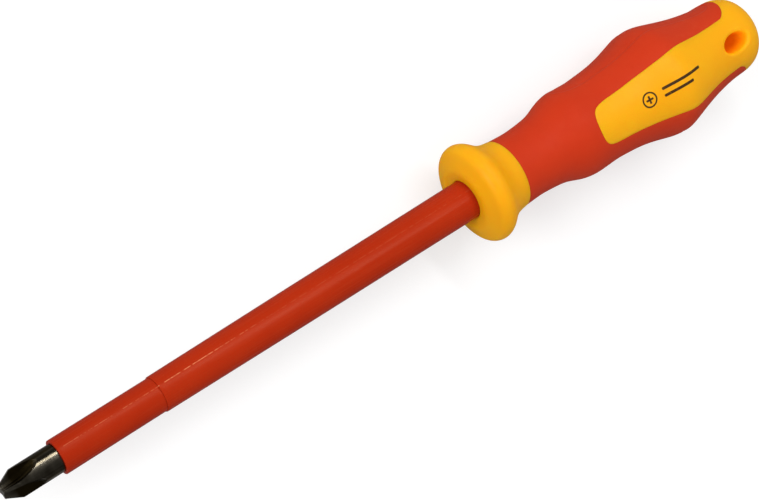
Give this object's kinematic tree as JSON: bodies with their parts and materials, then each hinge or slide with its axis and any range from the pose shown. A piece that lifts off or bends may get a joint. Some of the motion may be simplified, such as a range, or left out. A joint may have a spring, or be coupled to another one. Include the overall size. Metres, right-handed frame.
{
  "type": "insulated screwdriver",
  "caption": "Insulated cross-head screwdriver: fluted steel blade in stepped red insulation, round guard, yellow handle with a soft red grip and a hanging slot.",
  "frame": {"origin": "centre of the flat end of the cross point, on the blade's axis", "axes": "+X along the blade from the point to the handle, +Z out of the handle's front colour window, +Y out of the handle's side"},
  "size_m": [0.2562, 0.0332, 0.0336],
  "materials": {
    "blackened_steel": "blackened, satin",
    "insulation_red": "satin, faint lengthwise streaks",
    "core_plastic": "moulded",
    "body_yellow": "satin, fine moulded grain",
    "grip_red": "matte, soft"
  },
  "bodies": {
    "root": {"blade": "blackened_steel", "inner_insulation_sleeve": "insulation_red", "outer_insulation_sleeve": "insulation_red", "handle_core": "core_plastic", "handle_body": "body_yellow", "soft_grip": "grip_red"}
  },
  "joints": []
}
